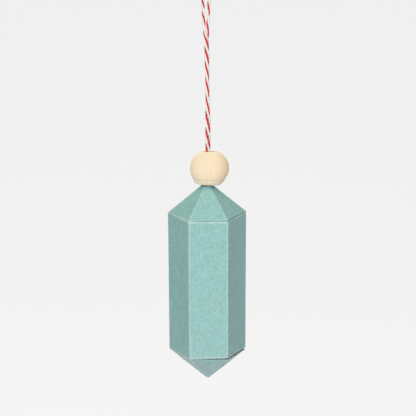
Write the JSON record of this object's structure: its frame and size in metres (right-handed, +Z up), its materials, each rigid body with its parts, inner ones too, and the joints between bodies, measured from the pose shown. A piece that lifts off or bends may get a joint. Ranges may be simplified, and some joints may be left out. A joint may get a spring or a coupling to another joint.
{
  "type": "hanging card crystal ornament",
  "caption": "Hanging ornament: a hexagonal crystal of folded card with pointed ends and a tuck-in bottom lid, under a wooden bead on a loop of baker's twine.",
  "frame": {"origin": "inner top of the twine's loop, where a hook carries the ornament", "axes": "+Z up along the twine, -Y out of the front wall, +X to the right seen from the front"},
  "size_m": [0.04, 0.0346, 0.2244],
  "materials": {
    "green_card": "matte, lightly fibrous",
    "beech_bead": "sanded, unvarnished",
    "bakers_twine": "twisted red and white cotton"
  },
  "bodies": {
    "twine_loop": {"twine": "bakers_twine", "stopper_knot": "bakers_twine"},
    "bead": {"bead": "beech_bead"},
    "crystal": {"wall_front": "green_card", "wall_front_right": "green_card", "wall_back_right": "green_card", "wall_back": "green_card", "wall_back_left": "green_card", "wall_front_left": "green_card", "side_glue_flap": "green_card", "top_facet_front": "green_card", "top_facet_front_right": "green_card", "top_facet_back_right": "green_card", "top_facet_back": "green_card", "top_facet_back_left": "green_card", "top_facet_front_left": "green_card", "top_glue_flap": "green_card", "top_tab_front": "green_card", "top_tab_front_right": "green_card", "top_tab_back_right": "green_card", "top_tab_back": "green_card", "top_tab_back_left": "green_card"},
    "lid": {"lid_facet_front": "green_card", "lid_facet_front_right": "green_card", "lid_facet_back_right": "green_card", "lid_facet_back": "green_card", "lid_facet_back_left": "green_card", "lid_facet_front_left": "green_card", "lid_glue_flap": "green_card"},
    "lid_tab_front": {"lid_tab_front": "green_card"},
    "lid_tab_front_right": {"lid_tab_front_right": "green_card"},
    "lid_tab_back_right": {"lid_tab_back_right": "green_card"},
    "lid_tab_back": {"lid_tab_back": "green_card"},
    "lid_tab_back_left": {"lid_tab_back_left": "green_card"}
  },
  "joints": [
    {"name": "bead_slide", "type": "slide", "parent": "twine_loop", "child": "bead", "axis": [-0.024, -0.008, 0.9997], "range_m": [0, 0.07]},
    {"name": "crystal_spin", "type": "hinge", "parent": "twine_loop", "child": "crystal", "pos_m": [0, 0, -0.11534], "axis": [0, 0, 1], "continuous": true},
    {"name": "lid_fold", "type": "hinge", "parent": "crystal", "child": "lid", "pos_m": [-0.015, -0.00866, -0.20646], "axis": [-0.5, 0.866, 0], "range_deg": [-1.5, 135]},
    {"name": "tab_fold_front", "type": "hinge", "parent": "lid", "child": "lid_tab_front", "pos_m": [0, -0.01632, -0.20673], "axis": [-0.9997, 0.0001, 0.0227], "range_deg": [0, 90]},
    {"name": "tab_fold_front_right", "type": "hinge", "parent": "lid", "child": "lid_tab_front_right", "pos_m": [0.01413, -0.00817, -0.20716], "axis": [-0.4997, -0.8659, 0.0227], "range_deg": [0, 90]},
    {"name": "tab_fold_back_right", "type": "hinge", "parent": "lid", "child": "lid_tab_back_right", "pos_m": [0.01412, 0.00816, -0.20737], "axis": [0.5, -0.866, 0], "range_deg": [0, 90]},
    {"name": "tab_fold_back", "type": "hinge", "parent": "lid", "child": "lid_tab_back", "pos_m": [-0.00001, 0.01632, -0.20716], "axis": [0.9997, -0.0001, -0.0227], "range_deg": [0, 90]},
    {"name": "tab_fold_back_left", "type": "hinge", "parent": "lid", "child": "lid_tab_back_left", "pos_m": [-0.01414, 0.00816, -0.20673], "axis": [0.4997, 0.8659, -0.0227], "range_deg": [0, 90]}
  ]
}
